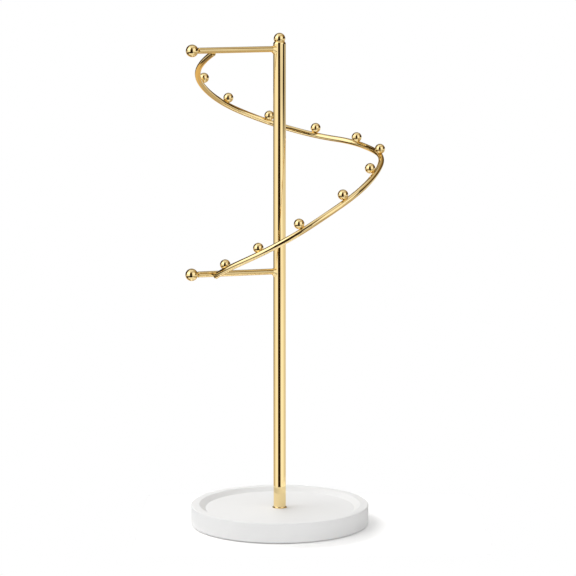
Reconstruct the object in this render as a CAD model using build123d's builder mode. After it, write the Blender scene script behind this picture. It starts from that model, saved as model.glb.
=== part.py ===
from build123d import *

import os
from math import cos, pi, radians, sin, sqrt, tan

# Jewelry tree: a spiral of gold rod round a post, on a round tray.
# Lengths are in millimetres and angles in degrees. The origin is on the table, under the
# middle of the tray, with +Z up and the front of the stand towards -Y.

# Tray: a round base with a shallow recess for rings
tray_diameter = 140.0
tray_height = 15.2
tray_edge_round = 1.0
rim_width = 6.5
recess_depth = 3.0
recess_wall_run = 4.9
recess_edge_round = 0.4

# Anti-slip pad under the tray
pad_diameter = 126.0
pad_thickness = 0.8
pad_hole_diameter = 22.0

# Screw joint between the tray and the post
screw_diameter = 5.0
screw_length = 18.0
screw_tip_chamfer = 0.6
screw_head_diameter = 9.4
screw_head_height = 3.0
screw_head_round = 0.5
screw_socket_width = 3.0
screw_socket_depth = 1.6
washer_diameter = 15.0
washer_thickness = 1.2
counterbore_depth = 6.0
hole_clearance = 0.3

# Post and its threaded insert
post_diameter = 9.8
post_wall = 1.0
post_height = 365.5
post_shoulder_round = 2.2
post_end_thickness = 14.0
insert_length = 14.0
insert_chamfer = 0.4
fit_clearance = 0.05

# Flared ring round the foot of the post
foot_ring_width = 0.95
foot_ring_height = 0.9
foot_ring_lip = 0.3
foot_ring_top_width = 0.2

# Finial ball in the top of the post
finial_diameter = 9.0
finial_rise = 1.8
finial_stud_diameter = 3.0
finial_stud_length = 8.0

# Arms: their heights are measured down from the top of the post
arm_diameter = 4.6
arm_heading = 35.7
upper_arm_drop = 6.05
lower_arm_drop = 178.1
upper_arm_rise = -0.83
lower_arm_rise = 1.87
upper_arm_overhang = 19.1
lower_arm_overhang = 20.7
arm_weld_length = 2.4
arm_weld_drop = 2.1
arm_weld_rise = 0.4
arm_weld_spread = 0.3
arm_end_round = 0.5
arm_neck_diameter = 2.6
arm_neck_gap = 0.8
arm_spigot_depth = 4.0
arm_ball_diameter = 9.5

# Spiral: one turn from under the upper arm to the side of the lower arm, with an uneven fall
spiral_rod_diameter = 4.6
spiral_radius = 71.0
spiral_offset = 9.7
spiral_end_chamfer = 0.4
upper_seat_drop = 1.95
lower_seat_drop = 1.6
spiral_turn_shares = (0, 0.125, 0.25, 0.375, 0.5, 0.625, 0.75, 0.875, 0.9964)
spiral_drop_shares = (0, 0.132, 0.274, 0.383, 0.436, 0.505, 0.659, 0.850, 1)

# Peg balls: where each stands along the spiral's length, and how far it leans towards the post
peg_ball_diameter = 8.0
peg_weld_sink = 0.5
peg_length_shares = (
    0.140, 0.226, 0.309, 0.394, 0.482, 0.573, 0.648, 0.738, 0.824, 0.903, 0.976,
)
peg_leans = (12, 0, 32, 0, 21, 5, 45, 8, 9, 35, 32)

# Sizes worked out from the ones above
tray_radius = tray_diameter / 2
tray_bottom = pad_thickness
rim_top = tray_bottom + tray_height
floor_top = rim_top - recess_depth
recess_top_radius = tray_radius - rim_width
recess_floor_radius = recess_top_radius - recess_wall_run

counterbore_top = tray_bottom + counterbore_depth
washer_bottom = counterbore_top - washer_thickness
screw_head_bottom = washer_bottom - screw_head_height
screw_radius = screw_diameter / 2
screw_hole_radius = screw_radius + hole_clearance
washer_radius = washer_diameter / 2

post_radius = post_diameter / 2
post_bore_radius = post_radius - post_wall
post_top = floor_top + post_height
post_bore_top = post_top - post_end_thickness

finial_radius = finial_diameter / 2
finial_height = post_top + finial_rise
finial_stud_radius = finial_stud_diameter / 2
finial_stud_bottom = finial_height - finial_radius - finial_stud_length

arm_radius = arm_diameter / 2
arm_neck_radius = arm_neck_diameter / 2
arm_ball_radius = arm_ball_diameter / 2
weld_distance = spiral_radius - spiral_offset

# The weld at an arm's root widens evenly towards the post's axis
weld_end = post_radius + arm_weld_length
weld_growth = weld_end / arm_weld_length
weld_half_height = arm_radius + weld_growth * (arm_weld_drop + arm_weld_rise) / 2
weld_half_width = arm_radius + weld_growth * arm_weld_spread
weld_centre_drop = weld_growth * (arm_weld_drop - arm_weld_rise) / 2

spiral_rod_radius = spiral_rod_diameter / 2
peg_ball_radius = peg_ball_diameter / 2

# Each arm's name, drop below the top of the post, slope and reach past the spiral
arms = (
    ("upper", upper_arm_drop, upper_arm_rise, upper_arm_overhang),
    ("lower", lower_arm_drop, lower_arm_rise, lower_arm_overhang),
)


def arm_plane(drop, rise):
    """Plane that holds an arm: X along the arm, Y upwards, origin on the post's axis."""
    heading = radians(arm_heading)
    slope = radians(rise)
    along = Vector(-cos(heading) * cos(slope), -sin(heading) * cos(slope), sin(slope))
    across = Vector(-sin(heading), cos(heading), 0)
    return Plane(origin=(0, 0, post_top - drop), x_dir=along, z_dir=across)


os.makedirs("parts", exist_ok=True)

# Tray, bored from below for the screw
with BuildPart() as tray:
    rim_corner = (recess_top_radius, rim_top)
    floor_corner = (recess_floor_radius, floor_top)
    with BuildSketch(Plane.XZ) as tray_half:
        with BuildLine():
            Polyline(
                (0, tray_bottom),
                (tray_radius, tray_bottom),
                (tray_radius, rim_top),
                rim_corner,
                floor_corner,
                (0, floor_top),
                close=True,
            )
        make_face()
        fillet(tray_half.vertices().group_by(Axis.X)[-1], tray_edge_round)
        for corner in (rim_corner, floor_corner):
            fillet(tray_half.vertices().sort_by_distance(corner)[0], recess_edge_round)
    revolve(axis=Axis.Z)
    with Locations(Plane(origin=(0, 0, tray_bottom), z_dir=(0, 0, -1))):
        CounterBoreHole(
            radius=screw_hole_radius,
            counter_bore_radius=washer_radius + hole_clearance,
            counter_bore_depth=counterbore_depth,
        )
tray.part.label = "tray"
export_step(tray.part, "parts/tray.step")

# Pad under the tray, open in the middle so that the screw can be reached
with BuildPart() as tray_pad:
    with BuildSketch():
        Circle(pad_diameter / 2)
        Circle(pad_hole_diameter / 2, mode=Mode.SUBTRACT)
    extrude(amount=pad_thickness)
tray_pad.part.label = "tray_pad"
export_step(tray_pad.part, "parts/tray_pad.step")

# Washer under the screw's head
with BuildPart() as base_washer:
    with BuildSketch(Plane.XY.offset(washer_bottom)):
        Circle(washer_radius)
        Circle(screw_hole_radius, mode=Mode.SUBTRACT)
    extrude(amount=washer_thickness)
base_washer.part.label = "base_washer"
export_step(base_washer.part, "parts/base_washer.step")

# Screw with a hexagon socket, from below
with BuildPart() as base_screw:
    with BuildSketch(Plane.XY.offset(screw_head_bottom)):
        Circle(screw_head_diameter / 2)
    extrude(amount=screw_head_height)
    fillet(base_screw.edges().sort_by(Axis.Z)[0], screw_head_round)
    with BuildSketch(Plane.XY.offset(washer_bottom)):
        Circle(screw_radius)
    extrude(amount=screw_length)
    chamfer(base_screw.edges().sort_by(Axis.Z)[-1], screw_tip_chamfer)
    with BuildSketch(Plane.XY.offset(screw_head_bottom)):
        RegularPolygon(radius=screw_socket_width / 2, side_count=6, major_radius=False)
    extrude(amount=screw_socket_depth, mode=Mode.SUBTRACT)
base_screw.part.label = "base_screw"
export_step(base_screw.part, "parts/base_screw.step")

# Threaded insert in the foot of the post
with BuildPart() as post_insert:
    with BuildSketch(Plane.XY.offset(floor_top)):
        Circle(post_bore_radius - fit_clearance)
        Circle(screw_radius + fit_clearance, mode=Mode.SUBTRACT)
    extrude(amount=insert_length)
    insert_rims = post_insert.edges().filter_by(GeomType.CIRCLE).group_by(SortBy.RADIUS)[-1]
    chamfer(insert_rims, insert_chamfer)
post_insert.part.label = "post_insert"
export_step(post_insert.part, "parts/post_insert.step")

# Post: a tube with a closed, rounded upper end that has a seat for the finial
with BuildPart() as post:
    with BuildSketch(Plane.XZ) as post_half:
        with BuildLine():
            Polyline(
                (post_bore_radius, floor_top),
                (post_radius, floor_top),
                (post_radius, post_top),
                (0, post_top),
                (0, post_bore_top),
                (post_bore_radius, post_bore_top),
                close=True,
            )
        make_face()
        fillet(post_half.vertices().sort_by_distance((post_radius, post_top))[0], post_shoulder_round)
    revolve(axis=Axis.Z)
    with Locations((0, 0, finial_height)):
        Sphere(finial_radius + fit_clearance, mode=Mode.SUBTRACT)
    with BuildSketch(Plane.XY.offset(finial_stud_bottom - fit_clearance)):
        Circle(finial_stud_radius + fit_clearance)
    extrude(amount=post_top - finial_stud_bottom, mode=Mode.SUBTRACT)
post.part.label = "post"
export_step(post.part, "parts/post.step")

# Flared ring that covers the joint between the post and the tray floor
with BuildPart() as foot_ring:
    ring_inner_radius = post_radius + fit_clearance
    ring_outer_radius = post_radius + foot_ring_width
    ring_top_radius = ring_inner_radius + foot_ring_top_width
    ring_top = floor_top + foot_ring_height
    with BuildSketch(Plane.XZ):
        with BuildLine():
            lip = Polyline(
                (ring_inner_radius, ring_top),
                (ring_inner_radius, floor_top),
                (ring_outer_radius, floor_top),
                (ring_outer_radius, floor_top + foot_ring_lip),
            )
            flare = TangentArc(lip @ 1, (ring_top_radius, ring_top), tangent=(-1, 0))
            Line(flare @ 1, lip @ 0)
        make_face()
    revolve(axis=Axis.Z)
foot_ring.part.label = "foot_ring"
export_step(foot_ring.part, "parts/foot_ring.step")

# Finial: a ball on a stud
with BuildPart() as finial:
    with BuildSketch(Plane.XZ):
        with BuildLine():
            dome = CenterArc((0, finial_height), finial_radius, -90, 180)
            Line(dome @ 1, dome @ 0)
        make_face()
        with Locations((0, finial_stud_bottom)):
            Rectangle(
                finial_stud_radius,
                finial_height - finial_stud_bottom,
                align=(Align.MIN, Align.MIN),
            )
    revolve(axis=Axis.Z)
finial.part.label = "finial"
export_step(finial.part, "parts/finial.step")

# Arms, welded and coped at the post and necked at the ball, and their end balls
for level, drop, rise, overhang in arms:
    plane = arm_plane(drop, rise)
    arm_axis = Axis(plane.origin, plane.x_dir)
    reach = weld_distance + overhang
    arm_end = reach - arm_ball_radius - arm_neck_gap
    spigot_end = reach - arm_ball_radius + arm_spigot_depth

    with BuildPart() as arm:
        with BuildSketch(plane):
            with BuildLine():
                rod = Polyline((0, 0), (0, arm_radius), (arm_end - arm_end_round, arm_radius))
                end_arc = TangentArc(rod @ 1, (arm_end, arm_radius - arm_end_round), tangent=(1, 0))
                Polyline(
                    end_arc @ 1,
                    (arm_end, arm_neck_radius),
                    (spigot_end, arm_neck_radius),
                    (spigot_end, 0),
                    (0, 0),
                )
            make_face()
        revolve(axis=arm_axis)
        root_plane = Plane(origin=plane.origin, x_dir=plane.z_dir, z_dir=plane.x_dir)
        with BuildSketch(root_plane):
            with Locations((0, weld_centre_drop)):
                Ellipse(weld_half_width, weld_half_height)
        with BuildSketch(root_plane.offset(weld_end)):
            Circle(arm_radius)
        loft()
        with Locations(plane.origin):
            Cylinder(post_radius, 4 * weld_half_height, mode=Mode.SUBTRACT)
    arm.part.label = f"{level}_arm"
    export_step(arm.part, f"parts/{level}_arm.step")

    with BuildPart() as arm_ball:
        with BuildSketch(plane):
            with BuildLine():
                dome = CenterArc((reach, 0), arm_ball_radius, 0, 180)
                Line(dome @ 1, dome @ 0)
            make_face()
            with Locations((reach - arm_ball_radius, 0)):
                Rectangle(
                    arm_spigot_depth + fit_clearance,
                    arm_neck_radius + fit_clearance,
                    align=(Align.MIN, Align.MIN),
                    mode=Mode.SUBTRACT,
                )
        revolve(axis=arm_axis)
    arm_ball.part.label = f"{level}_arm_ball"
    export_step(arm_ball.part, f"parts/{level}_arm_ball.step")


def weld_height(drop, rise, seat_drop):
    """Height of the spiral's axis where it is welded to an arm."""
    return post_top - drop + weld_distance * tan(radians(rise)) - seat_drop


def spiral_stations():
    """Points and directions along the spiral, one for each share of its turn and fall."""
    heading = radians(arm_heading)
    centre = Vector(spiral_offset * cos(heading), spiral_offset * sin(heading), 0)
    start_height = weld_height(upper_arm_drop, upper_arm_rise, upper_seat_drop)
    fall = start_height - weld_height(lower_arm_drop, lower_arm_rise, lower_seat_drop)
    heights = [start_height - share * fall for share in spiral_drop_shares]
    turns = [2 * pi * share for share in spiral_turn_shares]
    last = len(heights) - 1
    stations = []
    for index, height in enumerate(heights):
        before = max(index - 1, 0)
        after = min(index + 1, last)
        slope = (heights[after] - heights[before]) / (turns[after] - turns[before])
        angle = pi + heading - turns[index]
        point = centre + Vector(spiral_radius * cos(angle), spiral_radius * sin(angle), height)
        direction = Vector(spiral_radius * sin(angle), -spiral_radius * cos(angle), slope)
        stations.append((point, direction.normalized()))
    return stations


def arc_joint(start, start_direction, end, end_direction):
    """Point where two arcs meet that join two directions smoothly."""
    chord = end - start
    along = chord.dot(start_direction + end_direction)
    bend = 2 * (1 - start_direction.dot(end_direction))
    reach = (sqrt(along**2 + bend * chord.dot(chord)) - along) / bend
    return (start + end + (start_direction - end_direction) * reach) * 0.5


# Spiral: a rod bent along pairs of tangent arcs, cut square at its ends and coped to the arms
with BuildLine() as spiral_line:
    stations = spiral_stations()
    for (start, start_direction), (end, end_direction) in zip(stations, stations[1:]):
        joint = arc_joint(start, start_direction, end, end_direction)
        first_arc = TangentArc(start, joint, tangent=start_direction)
        TangentArc(joint, end, tangent=first_arc % 1)
spiral_path = spiral_line.wire()

with BuildPart() as spiral:
    with BuildSketch(Plane(origin=spiral_path @ 0, z_dir=spiral_path % 0)):
        Circle(spiral_rod_radius)
    sweep(path=spiral_path)
    chamfer(spiral.faces().filter_by(GeomType.PLANE).edges(), spiral_end_chamfer)
    for _, drop, rise, overhang in arms:
        plane = arm_plane(drop, rise)
        with BuildSketch(Plane(origin=plane.origin, z_dir=plane.x_dir)):
            Circle(arm_radius)
        extrude(amount=weld_distance + overhang, mode=Mode.SUBTRACT)
spiral.part.label = "spiral"
export_step(spiral.part, "parts/spiral.step")

# Peg balls, welded to the upper side of the spiral and leaning unevenly towards the post
for number, (share, lean) in enumerate(zip(peg_length_shares, peg_leans), start=1):
    seat = spiral_path @ share
    along = spiral_path % share
    upward = (Vector(0, 0, 1) - along * along.Z).normalized()
    inward = along.cross(upward)
    outward = upward * cos(radians(lean)) + inward * sin(radians(lean))
    ball_centre = seat + outward * (spiral_rod_radius + peg_ball_radius - peg_weld_sink)

    with BuildPart() as peg_ball:
        with Locations(Plane(origin=ball_centre, x_dir=along, z_dir=outward)):
            Sphere(peg_ball_radius)
        with BuildSketch(Plane(origin=seat, z_dir=along)):
            Circle(spiral_rod_radius + fit_clearance)
        extrude(amount=peg_ball_radius, both=True, mode=Mode.SUBTRACT)
    peg_ball.part.label = f"peg_ball_{number:02d}"
    export_step(peg_ball.part, f"parts/peg_ball_{number:02d}.step")
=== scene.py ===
import math

import bpy
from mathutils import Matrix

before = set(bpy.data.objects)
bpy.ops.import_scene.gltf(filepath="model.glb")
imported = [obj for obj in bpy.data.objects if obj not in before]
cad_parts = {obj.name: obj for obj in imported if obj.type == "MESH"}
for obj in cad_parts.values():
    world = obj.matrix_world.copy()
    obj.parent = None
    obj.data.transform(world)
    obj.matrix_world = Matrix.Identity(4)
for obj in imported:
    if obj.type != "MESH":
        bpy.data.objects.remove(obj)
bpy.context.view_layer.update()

# Camera: metres and degrees, with the focal length in pixels of the square picture
image_px = 576
focal_px = 2100.54
camera_distance = 1.6262
camera_height = 0.3827
camera_pitch_deg = 6.854
camera_yaw_deg = 0.230
sensor_mm = 36.0
straight_down_to_level_deg = 90.0

# Floor: a white sheet round the pad, in metres from the middle of the tray
floor_left = 0.11
floor_right = 0.16
floor_front = 0.10
floor_back = 0.10
floor_steps = 144
floor_colour = (0.97, 0.967, 0.962, 1.0)
floor_lift = 0.175

# Surfaces: the depth of the fine relief, in metres, and the pieces that are plated
relief_depth = 0.0002
gold_starts = ("post", "foot", "finial", "upper", "lower", "spiral", "peg")
steel_nodes = ("base_screw", "base_washer", "post_insert")
gold_nodes = [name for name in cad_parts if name.startswith(gold_starts) and name not in steel_nodes]

# Colours that more than one panel has
white = (1.0, 1.0, 1.0, 1.0)
box_white = (1.15, 1.14, 1.12, 1.0)
grey = (0.64, 0.60, 0.52, 1.0)
sand = (0.50, 0.42, 0.28, 1.0)
gap_brown = (0.03, 0.015, 0.003, 1.0)

# Studio as polished metal shows it. A panel has bearings, heights, a soft edge and a colour.
# Bearings run from the camera's side to the right, and heights from the horizon up, in degrees.
# A later panel covers an earlier one. One that reaches straight behind the stand runs on past it.
all_round = (-200.0, 200.0)
room_colour = (0.055, 0.035, 0.014, 1.0)
studio_panels = {
    "ceiling": (all_round, (66.0, 100.0), 6.0, (0.95, 0.94, 0.92, 1.0)),
    "pale wall over the left box": ((-150.0, -32.0), (50.0, 68.0), 5.0, (0.95, 0.95, 0.94, 1.0)),
    "grey wall over the right box": ((-32.0, 160.0), (43.0, 68.0), 4.0, grey),
    "table in front": ((-95.0, 58.0), (-100.0, -26.0), 4.0, (0.93, 0.92, 0.89, 1.0)),
    "table on the right": ((58.0, 200.0), (-100.0, -12.0), 4.0, (0.56, 0.48, 0.36, 1.0)),
    "table behind on the left": ((-200.0, -95.0), (-100.0, -40.0), 5.0, (0.30, 0.22, 0.13, 1.0)),
    "warm light low behind, right half": ((150.0, 200.0), (-42.0, -10.0), 4.0, (0.76, 0.51, 0.21, 1.0)),
    "warm light low behind, left half": ((-200.0, -130.0), (-46.0, -10.0), 4.0, (0.80, 0.57, 0.26, 1.0)),
    "table edge on the right": ((46.0, 200.0), (-15.0, -2.3), 1.5, (0.82, 0.80, 0.76, 1.0)),
    "horizon on the right": ((97.0, 150.0), (-3.0, 3.0), 1.5, (0.70, 0.66, 0.58, 1.0)),
    "horizon on the left": ((-132.0, -84.0), (-15.0, 1.0), 3.0, grey),
    "table edge on the left": ((-122.0, -84.0), (-19.0, -13.0), 2.0, grey),
    "foot of the left box": ((-88.0, -24.0), (-18.0, 8.0), 3.0, (1.12, 1.11, 1.09, 1.0)),
    "left box": ((-97.0, -32.0), (8.0, 54.0), 4.0, (1.80, 1.79, 1.77, 1.0)),
    "foot of the right box": ((16.0, 76.0), (-16.0, -6.0), 2.0, box_white),
    "waist of the right box": ((16.0, 54.0), (-7.0, -1.5), 1.5, box_white),
    "right box": ((12.0, 75.0), (-1.5, 44.0), 3.0, (1.18, 1.17, 1.15, 1.0)),
    "brown wall high on the right": ((80.0, 165.0), (24.0, 46.0), 4.0, (0.33, 0.21, 0.07, 1.0)),
    "dark wall behind, right half": ((125.0, 200.0), (2.0, 26.0), 5.0, (0.12, 0.075, 0.03, 1.0)),
    "dark wall behind, left half": ((-200.0, -150.0), (2.0, 36.0), 5.0, (0.10, 0.06, 0.025, 1.0)),
    "sand wall behind, right half": ((150.0, 200.0), (36.0, 50.0), 4.0, sand),
    "sand wall behind, left half": ((-200.0, -158.0), (36.0, 50.0), 4.0, sand),
    "black card on the right": ((75.0, 125.0), (4.0, 26.0), 3.0, (0.04, 0.024, 0.008, 1.0)),
    "foot of the black card": ((64.0, 101.0), (-2.5, 6.0), 1.2, (0.02, 0.012, 0.004, 1.0)),
    "black strip under the left box": ((-126.0, -24.0), (-38.0, -18.0), 1.5, (0.02, 0.012, 0.003, 1.0)),
    "gap between the boxes, at the table": ((-33.0, 19.0), (-42.0, -13.0), 2.5, (0.008, 0.005, 0.001, 1.0)),
    "gap under the horizon": ((-31.0, 15.0), (-14.0, -2.5), 2.0, gap_brown),
    "gap at the horizon": ((-27.0, 11.0), (-2.5, 4.0), 2.0, gap_brown),
    "gap over the horizon": ((-32.0, 19.0), (4.0, 16.0), 2.5, (0.012, 0.007, 0.001, 1.0)),
    "gap at half height": ((-30.0, 17.0), (16.0, 28.0), 4.0, (0.07, 0.045, 0.017, 1.0)),
    "top of the gap": ((-27.0, 15.0), (28.0, 50.0), 5.0, (0.12, 0.085, 0.04, 1.0)),
}
backdrop_bearing = 168.0
backdrop_heights = (-22.0, 10.0)
backdrop_soft = 3.0

# Studio as it lights matt surfaces: a dim dome over a white table, with panels as above and a small
# lamp high on the left, whose edge is given as the cosine of its half angle
front_box_bearings = (-55.0, 75.0)
dome_colour = (0.12, 0.12, 0.12, 1.0)
light_panels = {
    "white table": (all_round, (-100.0, -1.0), 1.0, (0.93, 0.93, 0.93, 1.0)),
    "long box behind on the left": ((-200.0, -100.0), (27.0, 47.0), 3.0, (4.80, 4.80, 4.80, 1.0)),
    "weak box behind on the right": ((147.0, 200.0), (30.0, 85.0), 3.0, (1.06, 1.06, 1.06, 1.0)),
    "lower part of the front box": (front_box_bearings, (0.0, 20.0), 3.0, (0.57, 0.57, 0.57, 1.0)),
    "upper part of the front box": (front_box_bearings, (20.0, 55.0), 3.0, (1.40, 1.40, 1.40, 1.0)),
}
lamp_direction = (-0.518, -0.110, 0.848)
lamp_edge_cosine = 0.970
lamp_soft_cosine = 0.008
lamp_colour = (4.14, 4.14, 4.12, 1.0)


def add(tree, kind, inputs=None, **settings):
    """Add a shader node, set its settings, and set or link its inputs."""
    made = tree.nodes.new(kind)
    for name, value in settings.items():
        setattr(made, name, value)
    for key, value in (inputs or {}).items():
        if isinstance(value, bpy.types.NodeSocket):
            tree.links.new(value, made.inputs[key])
        else:
            made.inputs[key].default_value = value
    return made


def calc(tree, operation, *values):
    """Add a math node on numbers or sockets and return its result."""
    return add(tree, "ShaderNodeMath", dict(enumerate(values)), operation=operation).outputs["Value"]


def blend(tree, mask, first, second, label=""):
    """One colour where a mask is 0 and another where it is 1."""
    inputs = {"Factor": mask, "A": first, "B": second}
    return add(tree, "ShaderNodeMix", inputs, data_type="RGBA", label=label).outputs["Result"]


def step_up(tree, value, middle, soft):
    """Smooth step from 0 to 1 about a middle."""
    inputs = {"Value": value, "From Min": middle - soft, "From Max": middle + soft}
    return add(tree, "ShaderNodeMapRange", inputs, interpolation_type="SMOOTHSTEP").outputs["Result"]


def band(tree, value, ends, soft):
    """1 between two ends and 0 outside, with soft edges."""
    start, end = ends
    rise = step_up(tree, value, start, soft)
    return calc(tree, "SUBTRACT", rise, step_up(tree, value, end, soft))


def seen_rays(tree, path):
    """1 for rays from the camera, off metal or through glass, and 0 for those that light matt surfaces."""
    mirrored = calc(tree, "MAXIMUM", path["Is Glossy Ray"], path["Is Transmission Ray"])
    return calc(tree, "MAXIMUM", path["Is Camera Ray"], mirrored)


def new_material(name):
    """An empty node material and its tree."""
    material = bpy.data.materials.new(name)
    material.use_nodes = True
    material.node_tree.nodes.clear()
    return material, material.node_tree


def finish_surface(tree, shader):
    """Link a shader node to a new output."""
    add(tree, "ShaderNodeOutputMaterial", {"Surface": shader.outputs[0]})


def object_noise(tree, per_metre):
    """Cloudy noise fixed to the object, finer for a larger number per metre."""
    place = add(tree, "ShaderNodeTexCoord").outputs["Object"]
    return add(tree, "ShaderNodeTexNoise", {"Vector": place, "Scale": per_metre}).outputs["Fac"]


def mottled(tree, per_metre, first, second):
    """A colour that drifts between two tones."""
    return blend(tree, object_noise(tree, per_metre), first, second)


def varied(tree, per_metre, least, most):
    """A value that drifts between two limits."""
    inputs = {"Value": object_noise(tree, per_metre), "To Min": least, "To Max": most}
    return add(tree, "ShaderNodeMapRange", inputs).outputs["Result"]


def relief(tree, per_metre, strength):
    """A fine uneven surface."""
    inputs = {"Height": object_noise(tree, per_metre), "Strength": strength, "Distance": relief_depth}
    return add(tree, "ShaderNodeBump", inputs).outputs["Normal"]


def principled(tree, inputs):
    """Add the main surface shader and link it to an output."""
    finish_surface(tree, add(tree, "ShaderNodeBsdfPrincipled", inputs))


def gold_material():
    """Mirror-polished plating with faint changes of tone and gloss and a slight wave."""
    material, tree = new_material("polished_gold")
    tone = mottled(tree, per_metre=45.0, first=(0.905, 0.705, 0.355, 1.0), second=(0.925, 0.73, 0.38, 1.0))
    roughness = varied(tree, per_metre=160.0, least=0.02, most=0.045)
    wave = relief(tree, per_metre=25.0, strength=0.05)
    principled(tree, {"Base Color": tone, "Metallic": 1.0, "Roughness": roughness, "Normal": wave})
    return material


def lacquer_material():
    """Matt white lacquer with a faint orange-peel surface."""
    material, tree = new_material("white_lacquer")
    tone = mottled(tree, per_metre=30.0, first=(0.862, 0.862, 0.86, 1.0), second=(0.878, 0.878, 0.876, 1.0))
    roughness = varied(tree, per_metre=120.0, least=0.60, most=0.68)
    peel = relief(tree, per_metre=900.0, strength=0.08)
    inputs = {"Base Color": tone, "Roughness": roughness, "Specular IOR Level": 0.3, "Normal": peel}
    principled(tree, inputs)
    return material


def rubber_material():
    """Matt black foam rubber with fine pores."""
    material, tree = new_material("foam_rubber")
    tone = mottled(tree, per_metre=1500.0, first=(0.018, 0.018, 0.018, 1.0), second=(0.04, 0.04, 0.04, 1.0))
    pores = relief(tree, per_metre=2200.0, strength=0.5)
    principled(tree, {"Base Color": tone, "Roughness": 0.85, "Normal": pores})
    return material


def steel_material():
    """Zinc-plated steel with a mottled gloss."""
    material, tree = new_material("zinc_steel")
    tone = mottled(tree, per_metre=700.0, first=(0.50, 0.51, 0.53, 1.0), second=(0.64, 0.64, 0.63, 1.0))
    roughness = varied(tree, per_metre=900.0, least=0.22, most=0.42)
    principled(tree, {"Base Color": tone, "Metallic": 1.0, "Roughness": roughness})
    return material


def floor_material():
    """White sheet, lifted a little where it is seen and clear from below."""
    material, tree = new_material("floor_sheet")
    seen = seen_rays(tree, add(tree, "ShaderNodeLightPath").outputs)
    sheet = add(tree, "ShaderNodeBsdfDiffuse", {"Color": floor_colour})
    glow = calc(tree, "MULTIPLY", seen, floor_lift)
    lift = add(tree, "ShaderNodeEmission", {"Color": white, "Strength": glow})
    both = add(tree, "ShaderNodeAddShader", {0: sheet.outputs[0], 1: lift.outputs[0]})
    from_below = add(tree, "ShaderNodeNewGeometry").outputs["Backfacing"]
    clear = add(tree, "ShaderNodeBsdfTransparent")
    top_only = add(tree, "ShaderNodeMixShader", {0: from_below, 1: both.outputs[0], 2: clear.outputs[0]})
    finish_surface(tree, top_only)
    return material


def dress(material, names):
    """Give CAD nodes a material."""
    for name in names:
        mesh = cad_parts[name].data
        mesh.materials.clear()
        mesh.materials.append(material)


def build_floor():
    """Sheet with a round hole for the pad and a straight outer edge on each side."""
    pad_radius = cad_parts["tray_pad"].dimensions.x / 2.0
    points = []
    faces = []
    for step in range(floor_steps):
        angle = 2.0 * math.pi * step / floor_steps
        across, along = math.cos(angle), math.sin(angle)
        side = floor_right if across > 0.0 else floor_left
        depth = floor_back if along > 0.0 else floor_front
        reach = 1.0 / max(abs(across) / side, abs(along) / depth)
        points += [(pad_radius * across, pad_radius * along, 0.0), (reach * across, reach * along, 0.0)]
        after = (step + 1) % floor_steps
        faces.append((2 * step, 2 * step + 1, 2 * after + 1, 2 * after))
    mesh = bpy.data.meshes.new("floor")
    mesh.from_pydata(points, [], faces)
    mesh.materials.append(floor_material())
    floor = bpy.data.objects.new("floor", mesh)
    bpy.context.scene.collection.objects.link(floor)


def build_studio():
    """One background for rays that are seen and another for those that light matt surfaces."""
    world = bpy.data.worlds.new("studio")
    bpy.context.scene.world = world
    world.use_nodes = True
    tree = world.node_tree
    tree.nodes.clear()
    ray = add(tree, "ShaderNodeTexCoord").outputs["Generated"]
    axes = add(tree, "ShaderNodeSeparateXYZ", {"Vector": ray}).outputs
    towards_camera = calc(tree, "MULTIPLY", axes["Y"], -1.0)
    bearing = calc(tree, "DEGREES", calc(tree, "ARCTAN2", axes["X"], towards_camera))
    height = calc(tree, "DEGREES", calc(tree, "ARCSINE", axes["Z"]))

    def hang(colour, panels):
        """Cover a colour with panels, one after another."""
        for label, (bearings, heights, soft, panel_colour) in panels.items():
            across = band(tree, bearing, bearings, soft)
            mask = calc(tree, "MULTIPLY", across, band(tree, height, heights, soft))
            colour = blend(tree, mask, colour, panel_colour, label)
        return colour

    path = add(tree, "ShaderNodeLightPath").outputs
    behind = step_up(tree, calc(tree, "ABSOLUTE", bearing), backdrop_bearing, backdrop_soft)
    backdrop = calc(tree, "MULTIPLY", behind, band(tree, height, backdrop_heights, backdrop_soft))
    plain = calc(tree, "MAXIMUM", path["Is Camera Ray"], backdrop)
    shown = blend(tree, plain, hang(room_colour, studio_panels), white, "plain white backdrop")

    towards_lamp = add(tree, "ShaderNodeVectorMath", {0: ray, 1: lamp_direction}, operation="DOT_PRODUCT")
    lamp_mask = step_up(tree, towards_lamp.outputs["Value"], lamp_edge_cosine, lamp_soft_cosine)
    lit = blend(tree, lamp_mask, hang(dome_colour, light_panels), lamp_colour, "lamp")

    room = add(tree, "ShaderNodeBackground", {"Color": shown})
    light = add(tree, "ShaderNodeBackground", {"Color": lit})
    seen = seen_rays(tree, path)
    both = add(tree, "ShaderNodeMixShader", {0: seen, 1: light.outputs[0], 2: room.outputs[0]})
    add(tree, "ShaderNodeOutputWorld", {"Surface": both.outputs[0]})


def build_camera():
    """Camera at the photograph's place and angle."""
    lens = bpy.data.cameras.new("camera")
    lens.sensor_width = sensor_mm
    lens.lens = focal_px * sensor_mm / image_px
    camera = bpy.data.objects.new("camera", lens)
    camera.location = (0.0, -camera_distance, camera_height)
    tilt = math.radians(straight_down_to_level_deg - camera_pitch_deg)
    camera.rotation_euler = (tilt, 0.0, math.radians(-camera_yaw_deg))
    bpy.context.scene.collection.objects.link(camera)
    bpy.context.scene.camera = camera


bpy.context.scene.view_settings.view_transform = "Standard"
dress(gold_material(), gold_nodes)
dress(lacquer_material(), ["tray"])
dress(rubber_material(), ["tray_pad"])
dress(steel_material(), steel_nodes)
build_floor()
build_studio()
build_camera()
